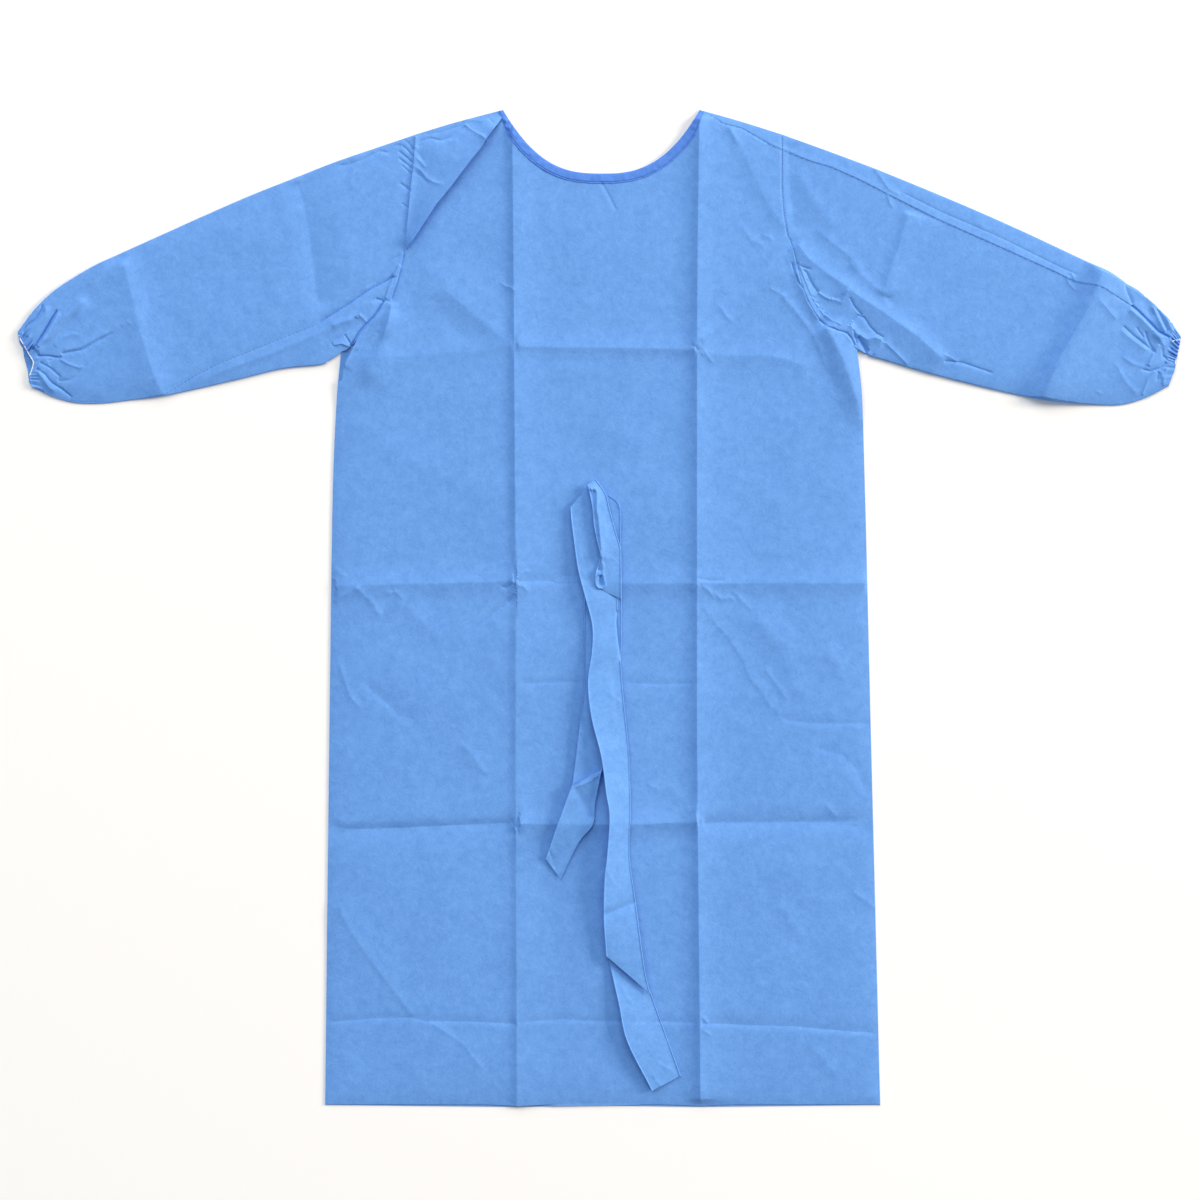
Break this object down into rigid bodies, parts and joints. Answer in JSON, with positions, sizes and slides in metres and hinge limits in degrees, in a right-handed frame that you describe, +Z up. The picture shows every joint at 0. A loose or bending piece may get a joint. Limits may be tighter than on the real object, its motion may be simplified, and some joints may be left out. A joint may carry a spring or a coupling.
{
  "type": "surgical gown",
  "caption": "Disposable surgical gown laid flat with its front up: long sleeves with gathered cuffs, a bound scooped neck and a tie belt.",
  "frame": {"origin": "middle of the gown's outline, on the surface it lies on", "axes": "+X across the gown towards the sleeve on the right as seen from above, +Y towards the neck, +Z up from the surface"},
  "size_m": [1.4, 1.2, 0.0151],
  "materials": {
    "body_cloth": "matt spun-bonded nonwoven with a fine point emboss",
    "sleeve_cloth": "matt spun-bonded nonwoven with a fine point emboss",
    "cuff_band": "matt nonwoven gathered on a white elastic thread",
    "neck_binding": "matt nonwoven folded double and stitched",
    "belt_tape": "matt nonwoven folded lengthwise and pressed"
  },
  "bodies": {
    "root": {"front": "body_cloth", "back_left": "body_cloth", "back_right": "body_cloth", "sleeve_left_front": "sleeve_cloth", "sleeve_left_back": "sleeve_cloth", "sleeve_right_front": "sleeve_cloth", "sleeve_right_back": "sleeve_cloth", "cuff_left_front": "cuff_band", "cuff_left_back": "cuff_band", "cuff_right_front": "cuff_band", "cuff_right_back": "cuff_band", "neck_binding_front": "neck_binding", "neck_binding_back_left": "neck_binding", "neck_binding_back_right": "neck_binding", "belt_short_tail": "belt_tape", "belt_long_tail": "belt_tape", "belt_long_tail_end": "belt_tape", "belt_sewn_end": "belt_tape"}
  },
  "joints": []
}
